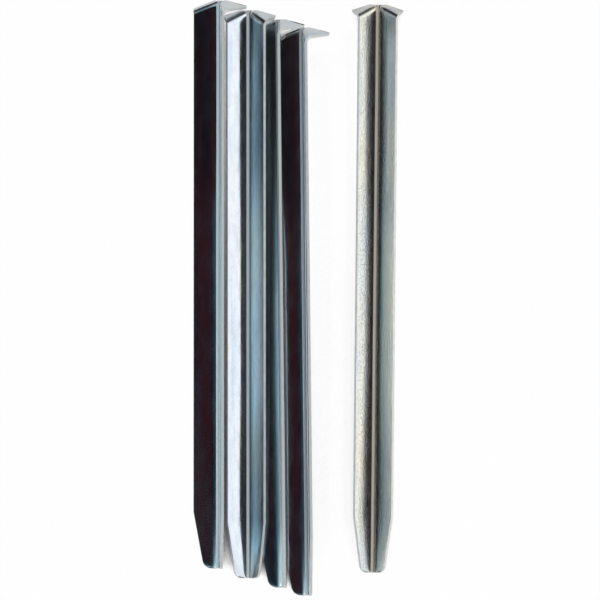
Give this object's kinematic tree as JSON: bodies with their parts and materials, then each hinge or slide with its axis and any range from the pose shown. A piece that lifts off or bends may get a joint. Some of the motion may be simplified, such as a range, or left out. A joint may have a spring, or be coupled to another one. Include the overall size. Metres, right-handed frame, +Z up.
{
  "type": "tent stake set",
  "caption": "Set of folded sheet-steel angle tent stakes with blunt tapered tips and heads of two outward ears that hold a guy line, four lying in a row and one apart.",
  "frame": {"origin": "on the ground under the tip of stake_4, the right-hand stake of the row", "axes": "+Y along the stakes from their tips to their heads, +Z up from the ground, +X to the right towards the stake that lies apart"},
  "size_m": [0.1113, 0.3147, 0.0303],
  "materials": {
    "zinc_steel": "bright zinc plate with a thin blue passivation"
  },
  "bodies": {
    "body_1": {"stake_1": "zinc_steel"},
    "body_2": {"stake_2": "zinc_steel"},
    "body_3": {"stake_3": "zinc_steel"},
    "body_4": {"stake_4": "zinc_steel"},
    "body_5": {"stake_5": "zinc_steel"}
  },
  "joints": [
    {"name": "lift_3", "type": "slide", "parent": "body_4", "child": "body_3", "axis": [0, 0, 1], "range_m": [0, 0.05]},
    {"name": "lift_2", "type": "slide", "parent": "body_3", "child": "body_2", "axis": [0, 0, 1], "range_m": [0, 0.05]},
    {"name": "lift_1", "type": "slide", "parent": "body_2", "child": "body_1", "axis": [0, 0, 1], "range_m": [0, 0.05]},
    {"name": "lift_5", "type": "slide", "parent": "body_4", "child": "body_5", "axis": [0, 0, 1], "range_m": [0, 0.05]}
  ]
}
